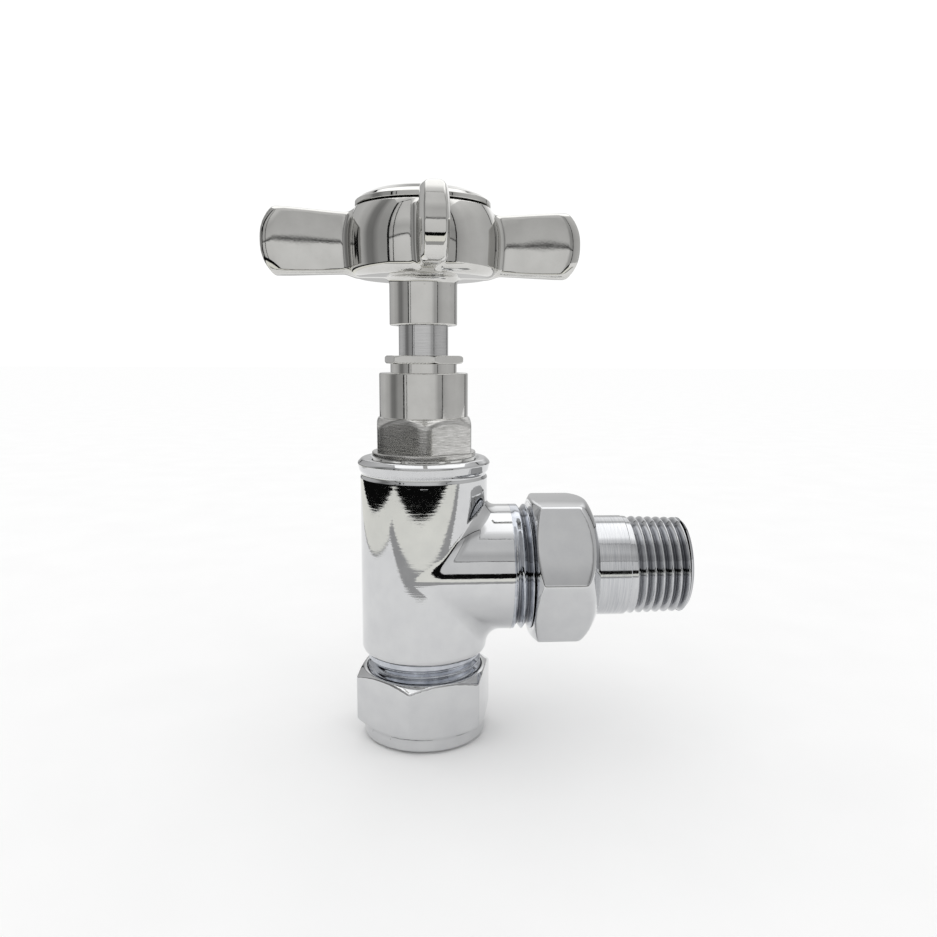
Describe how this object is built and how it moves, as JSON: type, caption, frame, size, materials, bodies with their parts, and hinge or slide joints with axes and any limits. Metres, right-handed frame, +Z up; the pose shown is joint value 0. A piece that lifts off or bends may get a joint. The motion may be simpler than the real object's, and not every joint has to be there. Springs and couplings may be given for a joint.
{
  "type": "angled manual radiator valve",
  "caption": "Angled manual radiator valve in polished chrome: cross handle on a rising spindle, compression nut for the pipe below and a union nut with a threaded radiator tail at the side.",
  "frame": {"origin": "centre of the underside of the compression nut, where the pipe goes in", "axes": "+Z up the spindle, +X out along the radiator tail, +Y away from the side first seen"},
  "size_m": [0.0875, 0.0642, 0.1133],
  "materials": {
    "valve_body": "polished chromium plate on a brass casting, bright nickel-grey thread",
    "bonnet": "chrome plate, milled flats left with a fine brushed grain",
    "bonnet_o_ring": "black nitrile rubber",
    "gland_nut": "polished chrome plate",
    "gland_washer": "turned brass",
    "packing_ring_lower": "off-white PTFE packing",
    "packing_ring_upper": "off-white PTFE packing",
    "valve_plug": "turned brass",
    "seat_washer": "black rubber",
    "washer_nut": "turned brass",
    "spindle": "polished chrome plate on the showing stem, plain turned thread",
    "handle": "mirror-polished chrome plate",
    "handle_cap": "mirror-polished chrome plate",
    "handle_screw": "zinc-plated steel",
    "lock_washer": "zinc-plated steel",
    "union_tail": "chrome plate over fine turning marks",
    "tail_o_ring": "black nitrile rubber",
    "union_nut": "mirror-polished chrome plate",
    "olive": "bright turned brass",
    "compression_nut": "polished chrome plate"
  },
  "bodies": {
    "body": {"valve_body": "valve_body", "bonnet": "bonnet", "bonnet_o_ring": "bonnet_o_ring", "packing_ring_lower": "packing_ring_lower", "packing_ring_upper": "packing_ring_upper", "gland_washer": "gland_washer", "gland_nut": "gland_nut"},
    "jumper": {"valve_plug": "valve_plug", "seat_washer": "seat_washer", "washer_nut": "washer_nut"},
    "spindle_and_handle": {"spindle": "spindle", "handle": "handle", "handle_cap": "handle_cap", "handle_screw": "handle_screw", "lock_washer": "lock_washer"},
    "tail": {"union_tail": "union_tail", "tail_o_ring": "tail_o_ring"},
    "union_nut": {"union_nut": "union_nut"},
    "olive": {"olive": "olive"},
    "compression_nut": {"compression_nut": "compression_nut"}
  },
  "joints": [
    {"name": "spindle_lift", "type": "slide", "parent": "body", "child": "jumper", "axis": [0, 0, 1], "range_m": [-0.0045, 0]},
    {"name": "handle_turn", "type": "hinge", "parent": "jumper", "child": "spindle_and_handle", "pos_m": [0, 0, 0.0959], "axis": [0, 0, 1], "range_deg": [-1080.2, 0]},
    {"name": "tail_slide", "type": "slide", "parent": "body", "child": "tail", "axis": [1, 0, 0], "range_m": [0, 0.00908]},
    {"name": "union_nut_turn", "type": "hinge", "parent": "tail", "child": "union_nut", "pos_m": [0.031, 0, 0.0354], "axis": [1, 0, 0], "range_deg": [0, 1800]},
    {"name": "olive_slide", "type": "slide", "parent": "body", "child": "olive", "axis": [0, 0, -1], "range_m": [0, 0.00901]},
    {"name": "compression_nut_turn", "type": "hinge", "parent": "olive", "child": "compression_nut", "pos_m": [0, 0, 0], "axis": [0, 0, -1], "range_deg": [0, 2160]}
  ],
  "couplings": [
    {"joint": "handle_turn", "follows": "spindle_lift", "rad_per_m": 4188.8},
    {"joint": "tail_slide", "follows": "union_nut_turn", "m_per_rad": 0.00028871},
    {"joint": "olive_slide", "follows": "compression_nut_turn", "m_per_rad": 0.00023873}
  ]
}
